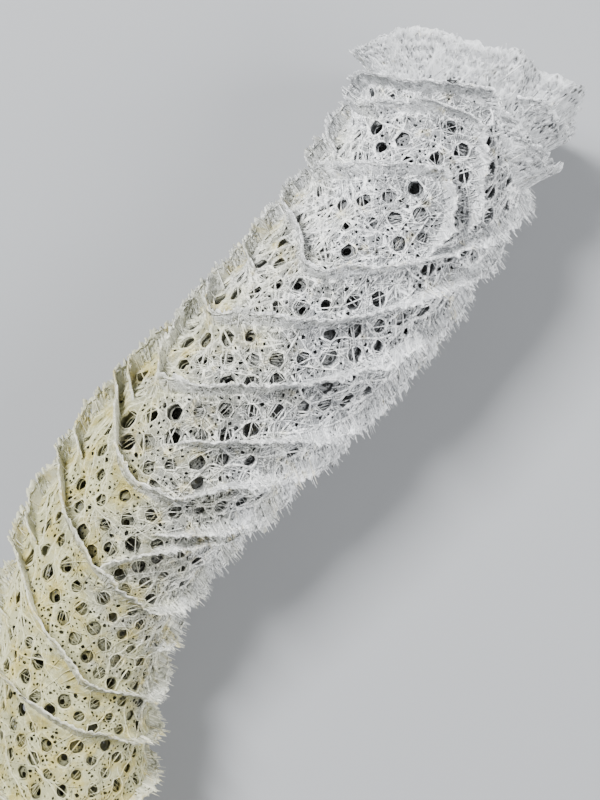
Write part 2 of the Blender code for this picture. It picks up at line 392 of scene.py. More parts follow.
# %% Strewn points
def ring_of_points(x, t, size, corners, seed, uneven=0.1, long_way=None, stretch=1.0):
    """Corners round each centre, a little uneven. Returns them with the number of their centre."""
    dice = np.random.default_rng(seed)
    turn = np.arange(corners) * math.tau / corners + dice.uniform(0, math.tau, (len(x), 1))
    reach = size[:, None] * (1 + uneven * dice.uniform(-1, 1, (len(x), corners)))
    a, b = reach * np.cos(turn) * stretch, reach * np.sin(turn)
    if long_way is not None:
        c, s = np.cos(long_way)[:, None], np.sin(long_way)[:, None]
        a, b = a * c - b * s, a * s + b * c
    owner = np.repeat(np.arange(len(x)), corners)
    return (x[:, None] + a).ravel(), (t[:, None] + b).ravel(), owner


def rings(*parts):
    """The ring number of each point. A count stands for as many points that are in no ring."""
    return np.concatenate([np.full(part, -1) if np.isscalar(part) else part for part in parts])


def strew(spacing, width, low, high, seed):
    """Places about one spacing apart, on a shaken grid over a strip of the pattern."""
    dice = np.random.default_rng(seed)
    across, up = round(width / spacing), round((high - low) / spacing)
    column, row = np.meshgrid(np.arange(across), np.arange(up))
    x = (column + 0.25 + 0.5 * (row % 2) + dice.uniform(-0.38, 0.38, column.shape)) * width / across
    t = low + (row + 0.5 + dice.uniform(-0.38, 0.38, column.shape)) * (high - low) / up
    return x.ravel(), t.ravel()


# %% Joining points to sheets
def joined(x, t, ring):
    """Triangles between all neighbours, without those inside a ring. A ring number below 0 is none."""
    made = delaunay_2d_cdt(list(zip(x.tolist(), t.tolist())), [], [], 0, 1e-7)
    corners = np.array([owners[0] for owners in made[3]])[np.array(made[2])]
    a, b, c = (ring[corners[:, k]] for k in range(3))
    return corners[~((a >= 0) & (a == b) & (b == c))]


def joined_round(x, t, ring):
    """The same on the tube's pattern, closed across its seam, with the chart place of each face corner."""
    margin, longest = 4.0, 6.0
    copies = [np.arange(len(x)), np.flatnonzero(x > GIRTH - margin), np.flatnonzero(x < margin)]
    origin = np.concatenate(copies)
    spread_x = np.concatenate([x[c] + shift for c, shift in zip(copies, (0, -GIRTH, GIRTH))])
    spread_t = t[origin]
    corners = joined(spread_x, spread_t, ring[origin])
    middle = spread_x[corners].mean(axis=1)
    long_side = np.ptp(spread_x[corners], axis=1) + np.ptp(spread_t[corners], axis=1)
    corners = corners[(middle >= 0) & (middle < GIRTH) & (long_side < longest)]
    chart = np.stack([spread_x[corners], spread_t[corners]], axis=-1).reshape(-1, 2)
    return origin[corners], chart


def sheet(name, triangles, place_on, a, b, half, chart):
    """A piece with two skins, each half a thickness from the places given, and walls at all its edges."""
    count = len(a)
    edges = np.concatenate([triangles[:, [0, 1]], triangles[:, [1, 2]], triangles[:, [2, 0]]])
    key = np.sort(edges, axis=1)
    _, first, times = np.unique(key[:, 0] * count + key[:, 1], return_index=True, return_counts=True)
    p, q = edges[first[times == 1]].T
    faces = [triangles, triangles[:, ::-1] + count, np.stack([q, p, p + count, q + count], axis=1)]
    corners = np.concatenate([place_on(a, b, half), place_on(a, b, -half)])
    make_piece(name, corners, faces, np.tile(chart, (2, 1)))


# %% [markdown]
# The outer felt follows three rules. It swells and sinks by a third of a millimetre, as matted fibre
# does. It rises to the ledges in a soft fillet. And it bends inwards at the rim of each hole, which
# gives the wall its thickness.

# %% Pores of the outer felt
FELT_LOW, FELT_HIGH = t_at(20), t_at(243.5)
RIM_CORNERS = 12
PORE_CORNERS = 5
PORE_STRETCH = 1.35


def felt_height(x, t):
    """Height of the felt over the wall at a pattern place."""
    gap, _ = from_foot(x, t)
    swell = 0.28 * ripple(x, t, 9, 21) + 0.14 * ripple(x, t, 2.6, 22)
    return swell + 1.0 * np.exp(-(gap / 1.3) ** 2)


dice = np.random.default_rng(31)
pore_x, pore_t = strew(1.17, GIRTH, FELT_LOW, FELT_HIGH, 32)
pore_size = np.where(dice.random(len(pore_x)) < 0.35, dice.uniform(0.32, 0.55, len(pore_x)),
                     dice.uniform(0.18, 0.32, len(pore_x)))
hole_gap = nearest_gap(pore_x, pore_t, *holes)
pore_foot, _ = from_foot(pore_x, pore_t)
thick_felt = ripple(pore_x, pore_t, 12, 33) + 0.8 * np.exp(-(pore_foot / 2.0) ** 2)
kept = (hole_gap > pore_size + 0.22) & (thick_felt < 0.75) & (pore_foot > 0.5)
pore_x, pore_t, pore_size = pore_x[kept], pore_t[kept], pore_size[kept]
pore_way = dice.choice([0.25, -0.25, 0.5, 0.0], len(pore_x)) * math.pi + dice.normal(0, 0.3, len(pore_x))
print("pores:", len(pore_x))

# %% Outer felt
rim_x, rim_t, rim_hole = ring_of_points(hole_x, hole_t, hole_size, RIM_CORNERS, 34, 0.08)
lip_x, lip_t, _ = ring_of_points(hole_x, hole_t, hole_size + 0.36, RIM_CORNERS, 35, 0.03)
edge_x, edge_t, edge_pore = ring_of_points(pore_x, pore_t, pore_size, PORE_CORNERS, 36, 0.2, pore_way,
                                           PORE_STRETCH)
fill_x, fill_t = strew(0.86, GIRTH, FELT_LOW, FELT_HIGH, 37)
free = (nearest_gap(fill_x, fill_t, *holes) > 0.62) & (
    nearest_gap(fill_x, fill_t, pore_x, pore_t, pore_size * PORE_STRETCH) > 0.2)
fill_x, fill_t = fill_x[free], fill_t[free]

felt_x = np.r_[rim_x, lip_x, edge_x, fill_x]
felt_t = np.r_[rim_t, lip_t, edge_t, fill_t]
ring = rings(rim_hole, len(lip_x), edge_pore + hole_count, len(fill_x))
rise = felt_height(felt_x, felt_t)
rise[:len(rim_x)] -= 0.5
felt_corners = on_wall(felt_x, felt_t, rise)
felt_triangles, felt_chart = joined_round(felt_x % GIRTH, felt_t, ring)
make_piece("outer_felt", felt_corners, [felt_triangles], felt_chart)

# %% [markdown]
# Behind the outer felt lies a second, finer one, the inside of the wall. It reaches into the holes: some
# it leaves open, some it half closes, and most it covers with a small sieve. Seen from outside, that sieve
# is the web at the bottom of a hole, and its darker colour is painted shade. A band round each hole joins
# the two felts.

# %% Openings in the inner felt
WALL_DEPTH = 1.3
SIEVE_LOW = t_at(56)
dice = np.random.default_rng(40)
kind = dice.choice(3, hole_count, p=[0.3, 0.34, 0.36])
inner_share = np.choose(kind, [dice.uniform(low, high, hole_count)
                               for low, high in ((0.7, 0.88), (0.4, 0.6), (0.16, 0.3))])
inner_way = dice.uniform(0, math.tau, hole_count)
inner_off = (1 - inner_share) * np.choose(kind, [0.5, 0.7, 0.6]) * hole_size
inner_x, inner_t = hole_x + inner_off * np.cos(inner_way), hole_t + inner_off * np.sin(inner_way)
inner_size = inner_share * hole_size
bottom_size = hole_size * 0.97

sieve_x, sieve_t = strew(0.78, GIRTH, SIEVE_LOW, FELT_HIGH, 42)
sieve_size = np.random.default_rng(43).uniform(0.15, 0.29, len(sieve_x))
within = nearest_gap(sieve_x, sieve_t, hole_x, hole_t, bottom_size) < -sieve_size - 0.1
within &= nearest_gap(sieve_x, sieve_t, inner_x, inner_t, inner_size) > sieve_size + 0.1
# Larger and fewer pores lie behind the felt between the holes
spare_x, spare_t = strew(2.6, GIRTH, FELT_LOW, FELT_HIGH, 44)
spare_size = np.random.default_rng(45).uniform(0.25, 0.55, len(spare_x))
outside = nearest_gap(spare_x, spare_t, *holes) > spare_size + 0.35
sieve_x = np.r_[sieve_x[within], spare_x[outside]]
sieve_t = np.r_[sieve_t[within], spare_t[outside]]
sieve_size = np.r_[sieve_size[within], spare_size[outside]]
print("openings in the inner felt:", hole_count + len(sieve_x))

# %% Inner felt and hole rims
bottom_x, bottom_t, _ = ring_of_points(hole_x, hole_t, bottom_size, RIM_CORNERS, 34, 0.08)
mouth_x, mouth_t, mouth_owner = ring_of_points(inner_x, inner_t, inner_size, 9, 41, 0.12)
brim_x, brim_t, brim_owner = ring_of_points(sieve_x, sieve_t, sieve_size, PORE_CORNERS, 46, 0.2)
fill_x, fill_t = strew(1.9, GIRTH, FELT_LOW, FELT_HIGH, 47)
free = (nearest_gap(fill_x, fill_t, *holes) > 0.5) & (
    nearest_gap(fill_x, fill_t, sieve_x, sieve_t, sieve_size) > 0.35)
fill_x, fill_t = fill_x[free], fill_t[free]

back_x = np.r_[bottom_x, mouth_x, brim_x, fill_x]
back_t = np.r_[bottom_t, mouth_t, brim_t, fill_t]
ring = rings(len(bottom_x), mouth_owner, brim_owner + hole_count, len(fill_x))
depth = -WALL_DEPTH + 0.15 * ripple(back_x, back_t, 5, 48)
back_triangles, back_chart = joined_round(back_x % GIRTH, back_t, ring)
rim_ring = np.arange(len(rim_x)).reshape(-1, RIM_CORNERS)
rim_next = np.roll(rim_ring, -1, axis=1)
count = len(back_x)
band = np.stack([rim_ring, rim_next, rim_next + count, rim_ring + count], axis=-1).reshape(-1, 4)
corners = np.concatenate([on_wall(back_x, back_t, depth), felt_corners[:len(rim_x)]])
spots = np.concatenate([np.stack([back_x, back_t], 1), np.stack([rim_x, rim_t], 1)])
make_piece("inner_felt", corners, [back_triangles, band], np.concatenate([back_chart, spots[band.ravel()]]))

# %% [markdown]
# ## Fibre bundles in the felt
# Bright bundles run over the felt: lengthwise, round the tube, and on both slants between the rows of
# holes. They are 0.1 to 0.4 mm wide and grown into the felt, so only their upper half shows. Whole rods
# would look like string laid on paper. So each bundle is a low ridge, a roof of two faces whose eaves
# lie in the felt, and it bends round the holes.

# %% Ridge helpers
def strands(starts, ways, lengths, step, wander, seed):
    """Rows of pattern places along wavy lines. Returns x, t and the number of the line of each place."""
    dice = np.random.default_rng(seed)
    counts = np.maximum((lengths / step).astype(int), 2) + 1
    line = np.repeat(np.arange(len(starts)), counts)
    run = (np.arange(len(line)) - np.repeat(np.cumsum(counts) - counts, counts)) * step
    phase = dice.uniform(0, math.tau, (2, len(starts)))[:, line]
    wave = math.tau / dice.uniform(6, 14, len(starts))[line]
    aside = wander * (np.sin(run * wave + phase[0]) + 0.5 * np.sin(run * wave * 2.3 + phase[1]))
    way_x, way_t = np.cos(ways)[line], np.sin(ways)[line]
    return starts[line, 0] + way_x * run - way_t * aside, starts[line, 1] + way_t * run + way_x * aside, line


def clear_of_holes(x, t, margin):
    """Moves places that fall into a hole out to its rim, so that a bundle bends round the hole."""
    moved_x, moved_t = np.array(x, float), np.array(t, float)
    for number, (a, b) in enumerate(zip(moved_x, moved_t)):
        centre, hole, gap = hole_tree.find((a, b, 0))
        need = hole_size[hole] + margin
        if gap < need:
            grow = need / max(gap, 0.05)
            moved_x[number] = centre[0] + (a - centre[0]) * grow
            moved_t[number] = centre[1] + (b - centre[1]) * grow
    return moved_x, moved_t


def ridges(name, x, t, line, half_width, crest, eaves):
    """Low roofs along rows of pattern places. Places in a row that share a line are one ridge."""
    first, last, before, after = ends_of(line)
    run = np.stack([x[after] - x[before], t[after] - t[before]], axis=1)
    run /= np.maximum(np.hypot(*run.T), 1e-6)[:, None]
    taper = np.where(first | last, 0.35, 1.0)
    a, b = -run[:, 1] * half_width * taper, run[:, 0] * half_width * taper
    top = eaves + (crest - eaves) * taper
    corners = [on_wall(x + a, t + b, eaves), on_wall(x, t, top), on_wall(x - a, t - b, eaves)]
    start = 3 * np.flatnonzero(~last)[:, None]
    faces = [start + np.array([[0, 3, 4, 1]]), start + np.array([[1, 4, 5, 2]])]
    chart = np.repeat(np.stack([x, t], axis=1), 3, axis=0)
    make_piece(name, np.stack(corners, axis=1).reshape(-1, 3), faces, chart)


def oldness(x, t):
    """0 in the young upper part to 1 in the old lower part, where the felt has grown over its bundles."""
    return np.clip((t_at(165) - t - 25 * rightness(x)) / (t_at(165) - t_at(110)), 0, 1)


# %% Long bundles
BUNDLES = 5600
# Both slants, lengthwise and round the tube
WAYS = [0.25, 0.75, 0.5, 0.0]
# How near a ledge the felt is thick enough to hide bundles, most of all on the right
BESIDE_LEDGE = 2.8

dice = np.random.default_rng(51)
slant = dice.choice(WAYS, BUNDLES, p=[0.32, 0.28, 0.24, 0.16]) * math.pi
starts = np.stack([dice.uniform(0, GIRTH, BUNDLES), dice.uniform(FELT_LOW - 6, FELT_HIGH - 4, BUNDLES)], 1)
# Most bundles keep to the lanes between the rows of holes
across = np.stack([-np.sin(slant), np.cos(slant)], axis=1)
lane_width = np.where(np.isin(slant, [0.25 * math.pi, 0.75 * math.pi]), 2 * (CELL / math.sqrt(2)), CELL)
offset = (starts * across).sum(axis=1)
phase = (np.array([0, first_row]) * across).sum(axis=1)
lane = np.round((offset - phase) / lane_width - 0.5) + 0.5
wanted = lane * lane_width + phase + dice.normal(0, 0.8, BUNDLES)
starts += across * (wanted - offset)[:, None]
lengths = dice.uniform(5, 22, BUNDLES)
bundle_x, bundle_t, bundle = strands(starts, slant + dice.normal(0, 0.2, BUNDLES), lengths, 1.0, 0.14, 52)
inside = (bundle_t > FELT_LOW) & (bundle_t < FELT_HIGH)
inside &= (dice.random(BUNDLES) > 0.7 * oldness(*starts.T))[bundle]
middle = starts + 0.5 * lengths[:, None] * np.stack([np.cos(slant), np.sin(slant)], axis=1)
beside = from_foot(*middle.T)[0] < BESIDE_LEDGE
inside &= ~(beside & (dice.random(BUNDLES) < 0.35 + 0.45 * rightness(middle[:, 0])))[bundle]
bundle_x, bundle_t, bundle = bundle_x[inside], bundle_t[inside], bundle[inside]
bundle_x, bundle_t = clear_of_holes(bundle_x, bundle_t, 0.12)
half_width = dice.choice([0.05, 0.08, 0.13, 0.2], BUNDLES, p=[0.38, 0.32, 0.2, 0.1])[bundle]
level = felt_height(bundle_x, bundle_t)
ridges("long_bundles", bundle_x, bundle_t, bundle, half_width, level + 0.24 + 0.6 * half_width, level - 0.12)

# %% [markdown]
# Each hole is also wound with fibres that hold its rim, and here and there fine threads have grown
# right across it. Circles would look too neat, so each winding is an arc that drifts in and out.

# %% Hole windings
ARC_POINTS = 9
dice = np.random.default_rng(61)
wound = np.repeat(np.arange(hole_count), 2)
wound = wound[dice.random(len(wound)) < 0.75 - 0.4 * oldness(hole_x[wound], hole_t[wound])]
begin = dice.uniform(0, math.tau, len(wound))
sweep = dice.uniform(1.8, 5.2, len(wound))
angle = begin[:, None] + sweep[:, None] * np.linspace(0, 1, ARC_POINTS)
drift = dice.uniform(0.1, 0.5, (len(wound), 1)) + 0.08 * dice.normal(0, 1, (len(wound), ARC_POINTS))
reach = hole_size[wound][:, None] + np.clip(drift, 0.05, 0.8)
wind_x = (hole_x[wound][:, None] + reach * np.cos(angle)).ravel()
wind_t = (hole_t[wound][:, None] + reach * np.sin(angle)).ravel()
half_width = np.repeat(dice.uniform(0.1, 0.2, len(wound)), ARC_POINTS)
level = felt_height(wind_x, wind_t) - 0.1
ridges("hole_windings", wind_x, wind_t, np.repeat(np.arange(len(wound)), ARC_POINTS), half_width,
       level + 0.1 + 0.6 * half_width, level - 0.1)

# %% Hole threads
crossed = np.flatnonzero(dice.random(hole_count) < 0.7)
aim_of_hole = dice.choice(WAYS, hole_count) * math.pi
crossed = np.repeat(crossed, dice.integers(1, 6, len(crossed)))
aim = (aim_of_hole[crossed] + dice.normal(0, 0.3, len(crossed)))[:, None]
shift = (dice.uniform(-0.7, 0.7, len(crossed)) * hole_size[crossed])[:, None]
span = np.linspace(-1.25, 1.25, 3) * hole_size[crossed][:, None]
thread_x = hole_x[crossed][:, None] + span * np.cos(aim) - shift * np.sin(aim)
thread_t = hole_t[crossed][:, None] + span * np.sin(aim) + shift * np.cos(aim)
points = on_wall(thread_x, thread_t, dice.uniform(-0.9, 0.15, (len(crossed), 1)))
fibres("hole_threads", points, dice.uniform(0.03, 0.065, len(crossed)), thread_x, thread_t)

# %% [markdown]
# ## The ledges
# A ledge is a fin of felt about 5 mm high and half a millimetre thick. It leans towards the cuff on the
# upper side, and hangs over towards the root on the right. Its edge is ragged and combed. All fins are
# cut from one long strip, laid end to end: points are strewn over it, with pores as in the wall, and a
# toothed line of points makes the edge. Then each place of the strip is put on its route, once for each
# face of the fin.

# %% Fin strip
FIN_THICKNESS = 0.5
GAP = 4.0
PLEAT = 1.9

fin_start, at, strip = 0.0, [], []
for route in routes:
    run = np.gradient(route, axis=0)
    run /= np.hypot(*run.T)[:, None]
    length = np.arange(len(route)) * ROUTE_STEP
    ends = np.clip(np.minimum(length, length[-1] - length) / 5 + 0.3, 0, 1)
    at.append(fin_start + length)
    strip.append(np.column_stack([route, -run[:, 1], run[:, 0], ends]))
    fin_start += length[-1] + GAP
strip_length = fin_start - GAP
fin_ends = np.array([(a[0], a[-1]) for a in at])
neck_start = fin_ends[-len(NECK_LEDGES), 0]
at, strip = np.concatenate(at), np.concatenate(strip)


def on_strip(column, length):
    """What the strip knows at a length: x, t, the two parts of the way across, and how high the fin is."""
    return np.interp(length, at, strip[:, column])


def fin_top(length):
    """The height of a fin's edge, before its teeth: lower at both ends, and rather uneven."""
    slow = 0.92 + 0.08 * ripple(length, 0, 8, 70) + 0.05 * ripple(length, 0, 2.4, 71)
    # The neck ledges stand out further on the right
    neck = np.where(length > neck_start, 1.1 + 0.15 * np.clip(rightness(on_strip(0, length)), 0, 1), 1.0)
    return LEDGE_HEIGHT * on_strip(4, length) * slow * neck


def on_fin(length, height, off):
    """Points in space from the place on the strip and the distance from the middle of the fin."""
    length, height, off = np.broadcast_arrays(length, height, off)
    share = np.clip(height / LEDGE_HEIGHT, 0, 1.2)
    sway = 0.5 * ripple(length, 0, 7, 72) + 0.25 * ripple(length, 0, 2.6, 73)
    x, t = on_strip(0, length), on_strip(1, length)
    pleat = 0.32 * np.sin(length * math.tau / PLEAT + 2 * ripple(length, 0, 11, 74))
    pleat = pleat * np.clip(0.6 + rightness(x), 0.15, 1)
    aside = off + (sway + pleat) * share ** 1.4
    x = x + on_strip(2, length) * aside
    lean = np.where(length > neck_start, lean_at(x, NECK_LEAN), lean_at(x))
    t = t + on_strip(3, length) * aside - lean * (LEDGE_HEIGHT - height)
    return on_wall(x, t, height)


print("fin strip, mm:", round(strip_length))

# %% Edges and pores of the fins
FIN_FOOT = -0.6
dice = np.random.default_rng(81)
tooth_at = np.arange(0, strip_length, 0.45)
side = rightness(on_strip(0, tooth_at))
ragged = 0.5 + 1.3 * np.clip(side, 0, 1) + 0.9 * np.clip(-side, 0, 1)
ragged = np.where(tooth_at > neck_start, 0.4, ragged)
tooth = ragged * np.where(dice.random(len(tooth_at)) < 0.5, dice.uniform(0.0, 0.11, len(tooth_at)),
                          dice.uniform(-0.2, 0.0, len(tooth_at)))
tooth_top = fin_top(tooth_at) * (1 + tooth)
pore_l, pore_h = strew(1.05, strip_length, 0.5, LEDGE_HEIGHT, 82)
pore_size = dice.uniform(0.12, 0.34, len(pore_l))
kept = (pore_h + pore_size * 1.8 < fin_top(pore_l) - 0.3) & (ripple(pore_l, pore_h, 6, 83) > -0.15)
pore_l, pore_h, pore_size = pore_l[kept], pore_h[kept], pore_size[kept]
edge_l, edge_h, edge_owner = ring_of_points(pore_l, pore_h, pore_size, PORE_CORNERS, 84, 0.2,
                                            math.pi / 2 + dice.normal(0, 0.3, len(pore_l)), 1.8)
fill_l, fill_h = strew(0.72, strip_length, -0.5, LEDGE_HEIGHT * 1.2, 85)
free = fill_h < fin_top(fill_l) * 0.84 - 0.1
free &= nearest_gap(fill_l, fill_h, pore_l, pore_h, pore_size * 1.5) > 0.2
foot_l = np.arange(0, strip_length, 0.9)
fin_l = np.r_[tooth_at, edge_l, fill_l[free], foot_l]
fin_h = np.r_[tooth_top, edge_h, fill_h[free], np.full(len(foot_l), FIN_FOOT)]
ring = rings(len(tooth_at), edge_owner, free.sum() + len(foot_l))
print("pores in the ledges:", len(pore_l))

# %% Ledge fins
triangles = joined(fin_l, fin_h, ring)
middle_l, middle_h = fin_l[triangles].mean(axis=1), fin_h[triangles].mean(axis=1)
low_l, high_l = fin_l[triangles].min(axis=1), fin_l[triangles].max(axis=1)
# Nothing may reach over the gap from one fin to the next, or over the teeth
on_ledge = ((low_l[:, None] > fin_ends[:, 0]) & (high_l[:, None] < fin_ends[:, 1])).any(axis=1)
on_ledge &= (middle_h < np.interp(middle_l, tooth_at, tooth_top) + 0.03) & (high_l - low_l < 2.5)
# A fin is thinner at its edge, and widens at its foot
half = 0.5 * FIN_THICKNESS * (1 - 0.4 * np.clip(fin_h / LEDGE_HEIGHT, 0, 1))
half = half + 0.5 * np.exp(-np.clip(fin_h - FIN_FOOT, 0, 9) / 0.5)
half = half + 0.05 * dice.normal(0, 1, len(fin_l))
chart = np.stack([on_strip(0, fin_l), on_strip(1, fin_l) + fin_h], axis=1)
sheet("ledge_fins", triangles[on_ledge], on_fin, fin_l, fin_h, half, chart)

# %% [markdown]
# Needles climb both faces of each fin and cross each other on the way. They start as little
# buttresses on the wall, and end above the edge as the teeth of the comb. The ledges are combed on the
# right and nearly smooth on the upper side.

# %% Ledge needles
NEEDLES = 9000
# Needles keep this far from the ends of a fin, more than any of them leans, so that none leaves it
END_MARGIN = 1.6
dice = np.random.default_rng(91)
levels = np.array([0.0, 0.2, 0.6, 1.0])
begin = dice.uniform(0, strip_length, NEEDLES)
on_ledge = (begin[:, None] > fin_ends[:, 0] + END_MARGIN) & (begin[:, None] < fin_ends[:, 1] - END_MARGIN)
begin = begin[on_ledge.any(axis=1)]
begin_x, begin_t = on_strip(0, begin), on_strip(1, begin)
combed = (0.25 + 0.75 * np.clip(1.3 * rightness(begin_x) + 0.1, 0, 1)) * (1 - 0.5 * oldness(begin_x, begin_t))
begin = begin[dice.random(len(begin)) < np.where(begin > neck_start, 0.12, combed)]
count = len(begin)
side = dice.choice([-1, 1], count)
lean = np.clip(dice.normal(0, 0.85, count), -1.5, 1.5)
tall = np.where(dice.random(count) < 0.5, dice.uniform(0.97, 1.14, count), dice.uniform(0.5, 0.95, count))
longer = np.where(begin > neck_start, -0.06, 0.24) * np.clip(rightness(on_strip(0, begin)), 0, 1)
tall = fin_top(begin) * (tall + (tall > 1) * longer)
splay = dice.uniform(0.2, 1.1, count)
length = begin[:, None] + lean[:, None] * levels
off = side[:, None] * (splay[:, None] * (1 - levels) ** 3 + 0.26 - 0.16 * levels)
points = on_fin(length, tall[:, None] * levels, off)
fibres("ledge_needles", points, dice.uniform(0.05, 0.11, count), on_strip(0, length), on_strip(1, length))

# %% [markdown]
# The edge of a ledge is its brightest line, because the fibres lie thickest there. Three rods wander along
# each crest, in and out of each other, and make a rough cord of it.

# %% Ledge crests
CORDS = 3
crest_l = np.concatenate([np.arange(a + 0.4, b - 0.4, 0.8) for a, b in fin_ends])
crest_fin = np.searchsorted(fin_ends[:, 0], crest_l)
cord = np.repeat(np.arange(CORDS), len(crest_l))
cord_l, cord_fin = np.tile(crest_l, CORDS), np.tile(crest_fin, CORDS)
cord_x = on_strip(0, cord_l)
# At both sides the teeth stand out over the cord
below = 0.93 - 0.13 * np.abs(rightness(cord_x))
cord_h = fin_top(cord_l) * (below + 0.07 * ripple(cord_l, 40 * cord, 4, 96))
cord_off = 0.24 * ripple(cord_l, 40 * cord, 3, 97)
cord_thickness = 0.2 + 0.06 * ripple(cord_l, 40 * cord, 2, 98)
rods("ledge_crests", on_fin(cord_l, cord_h, cord_off), cord * len(routes) + cord_fin, cord_thickness,
     np.stack([cord_x, on_strip(1, cord_l)], axis=1))

# %% [markdown]
# ## The cuff
# The top of the tube flares out to a frilly cuff of felt like the ledges', with soft pleats and a pierced,
# ragged rim. It is drawn on a flat strip of even height. A table then gives how far the rim reaches: 15 mm
# on the upper side of the tube, and 5 mm underneath, where the tube lies on the table.

# %% Shape of the cuff
CUFF_FOOT = 241.0
# Degrees round the tube from the upper side, and the length along it that the rim reaches there
CUFF_RIM = [(-180, 246), (-120, 246.5), (-90, 247), (-70, 248.5), (-47, 254), (-23, 256), (-8, 254.6),
            (15, 255), (31, 253), (55, 252.6), (67, 249.9), (90, 249), (120, 247), (180, 246)]
CUFF_FOOT_RADIUS = 18.4
CUFF_RADIUS = 25.0
# Height and length of the flat strip
CUFF_HEIGHT = 9.0
CUFF_GIRTH = math.tau * 22
CUFF_THICKNESS = 0.64


def on_cuff(across, height, off):
    """A point of the cuff from its place round the rim, its height over the foot and a distance off it."""
    turn = across / CUFF_GIRTH * math.tau
    share = np.clip(height / CUFF_HEIGHT, 0, 1.2)
    rim = read_off(CUFF_RIM, (np.degrees(turn) + 180) % 360 - 180)
    ruffle = 1.3 * np.sin(7 * turn + np.sin(2 * turn)) + 0.6 * np.sin(15 * turn + 2 * np.sin(3 * turn))
    ruffle = ruffle * (1 + 0.5 * np.sin(turn)) + 0.25 * ripple(across, height, 4.5, 104)
    flare = (CUFF_RADIUS - CUFF_FOOT_RADIUS) * share ** 1.15
    radius = CUFF_FOOT_RADIUS + flare + ruffle * share ** 1.3 + off
    return place(turn, CUFF_FOOT + (rim - CUFF_FOOT) * share, radius)


def cuff_chart(across, height):
    """The chart places of the cuff: as wide round as the tube's pattern, and on from its length."""
    return across / CUFF_GIRTH * GIRTH, t_at(CUFF_FOOT) + height


# %% Cuff
dice = np.random.default_rng(101)
tooth_at = np.arange(0, CUFF_GIRTH, 0.5)
tooth_top = CUFF_HEIGHT * (0.97 + 0.06 * ripple(tooth_at, 0, 6, 102))
tooth_top = tooth_top + dice.uniform(-0.25, 0.2, len(tooth_at))
pore_x, pore_t = strew(1.2, CUFF_GIRTH, 0.3, CUFF_HEIGHT, 103)
# Near the rim the pores are larger and many
near_rim = np.clip((pore_t - 6) / 2, 0, 1)
pore_size = dice.uniform(0.16, 0.38, len(pore_x)) + dice.uniform(0, 0.28, len(pore_x)) * near_rim
kept = ripple(pore_x, pore_t, 7, 105) + 0.9 * near_rim > -0.35
kept &= pore_t + pore_size * 1.6 < CUFF_HEIGHT - 0.7
pore_x, pore_t, pore_size = pore_x[kept], pore_t[kept], pore_size[kept]
edge_x, edge_t, edge_owner = ring_of_points(pore_x, pore_t, pore_size, 6, 106, 0.2,
                                            math.pi / 2 + dice.normal(0, 0.8, len(pore_x)), 1.25)
fill_x, fill_t = strew(0.8, CUFF_GIRTH, 0.0, CUFF_HEIGHT - 0.8, 107)
free = nearest_gap(fill_x, fill_t, pore_x, pore_t, pore_size * 1.4) > 0.22
cuff_x = np.r_[tooth_at, edge_x, fill_x[free]]
cuff_t = np.r_[tooth_top, edge_t, fill_t[free]]
ring = rings(len(tooth_at), edge_owner, free.sum())
# The sheet is closed to a ring: its first 3 mm are joined once more behind its end
seam = np.flatnonzero(cuff_x < 3)
origin = np.r_[np.arange(len(cuff_x)), seam]
spread = np.r_[cuff_x, cuff_x[seam] + CUFF_GIRTH]
height = cuff_t[origin]
triangles = joined(spread, height, ring[origin])
middle_x, middle_t = spread[triangles].mean(axis=1), height[triangles].mean(axis=1)
kept = (middle_x > 1.5) & (middle_x < CUFF_GIRTH + 1.5) & (np.ptp(spread[triangles], axis=1) < 2.5)
kept &= middle_t < np.interp(middle_x % CUFF_GIRTH, tooth_at, tooth_top) + 0.03
half = 0.5 * CUFF_THICKNESS * (1 - 0.4 * height / CUFF_HEIGHT) + 0.03 * dice.normal(0, 1, len(cuff_x))[origin]
sheet("cuff", triangles[kept], on_cuff, spread % CUFF_GIRTH, height, half,
      np.stack(cuff_chart(spread, height), axis=1))

# %% [markdown]
# Some needles lie on both faces of the cuff, and two thin cords follow its teeth and hem it.

# %% Cuff needles
CUFF_NEEDLES = 260
dice = np.random.default_rng(111)
begin = dice.uniform(0, CUFF_GIRTH, CUFF_NEEDLES)
low = dice.uniform(-0.05, 0.7, CUFF_NEEDLES)
high = np.minimum(low + dice.uniform(0.25, 0.7, CUFF_NEEDLES), dice.uniform(0.9, 1.03, CUFF_NEEDLES))
levels = np.linspace(0, 1, 4)
share = low[:, None] + (high - low)[:, None] * levels
lean = dice.normal(0, 2.4, CUFF_NEEDLES)
side = dice.choice([0.3, -0.3], CUFF_NEEDLES)[:, None] * (1 - 0.35 * np.clip(share, 0, 1))
across = begin[:, None] + lean[:, None] * levels
fibres("cuff_needles", on_cuff(across, share * CUFF_HEIGHT, side), dice.uniform(0.05, 0.12, CUFF_NEEDLES),
       *cuff_chart(across, share * CUFF_HEIGHT))

# %% Cuff rim
rim_step = np.arange(0, CUFF_GIRTH + 0.7, 0.7)
cord = np.repeat(np.arange(2), len(rim_step))
cord_x = np.tile(rim_step, 2)
cord_t = np.interp(cord_x % CUFF_GIRTH, tooth_at, tooth_top) - 0.25 + 0.25 * ripple(cord_x, 40 * cord, 3, 112)
rods("cuff_rim", on_cuff(cord_x % CUFF_GIRTH, cord_t, 0.15 * ripple(cord_x, 40 * cord, 3, 113)), cord,
     np.full(len(cord_x), 0.13), np.stack(cuff_chart(cord_x, cord_t), axis=1))

# %% [markdown]
# ## The sieve plate
# Inside the cuff a shallow dome of coarse glass net closes the tube. It is made like the felt, from
# strewn points and rings, but on a disc, with wide meshes of about a millimetre.

# %% Sieve plate
PLATE_RADIUS = 18.2
PLATE_FOOT = 244.2
PLATE_RISE = 4.0


